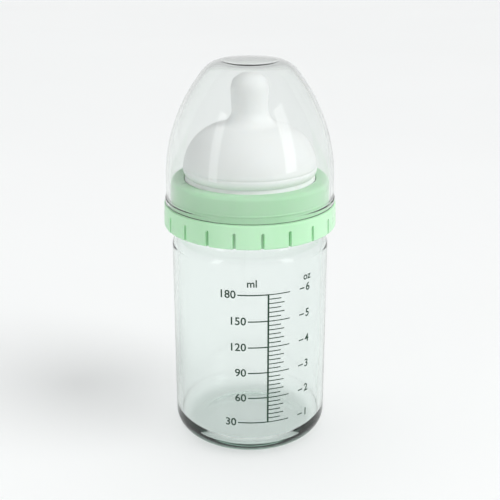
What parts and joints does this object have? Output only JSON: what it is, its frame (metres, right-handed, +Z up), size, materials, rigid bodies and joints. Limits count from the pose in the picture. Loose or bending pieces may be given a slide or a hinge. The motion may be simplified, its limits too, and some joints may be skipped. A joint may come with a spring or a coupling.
{
  "type": "baby bottle",
  "caption": "Clear wide-neck baby bottle with a printed volume scale, silicone teat, sealing disc, green screw ring with grip notches and a clear dome cap.",
  "frame": {"origin": "centre of the ring-shaped face that the bottle stands on", "axes": "+Z up along the bottle's axis, -Y towards the printed scale's side"},
  "size_m": [0.069, 0.069, 0.1566],
  "materials": {
    "bottle_clear": "clear",
    "scale_ink": "printed",
    "disc_white": "satin",
    "teat_silicone": "silky matte silicone",
    "ring_green": "satin gloss",
    "cap_clear": "clear"
  },
  "bodies": {
    "bottle": {"bottle_body": "bottle_clear", "volume_scale": "scale_ink"},
    "teat_and_disc": {"teat": "teat_silicone", "sealing_disc": "disc_white"},
    "ring": {"screw_ring": "ring_green"},
    "cap": {"dome_cap": "cap_clear"}
  },
  "joints": [
    {"name": "head_lift", "type": "slide", "parent": "bottle", "child": "teat_and_disc", "axis": [0, 0, 1], "range_m": [0, 0.0163]},
    {"name": "ring_turn", "type": "hinge", "parent": "teat_and_disc", "child": "ring", "pos_m": [0, 0, 0.1], "axis": [0, 0, 1], "range_deg": [0, 1300]},
    {"name": "cap_lift", "type": "slide", "parent": "ring", "child": "cap", "axis": [0, 0, 1], "range_m": [0, 0.06]}
  ],
  "couplings": [
    {"joint": "head_lift", "follows": "ring_turn", "m_per_rad": 0.0007162}
  ]
}
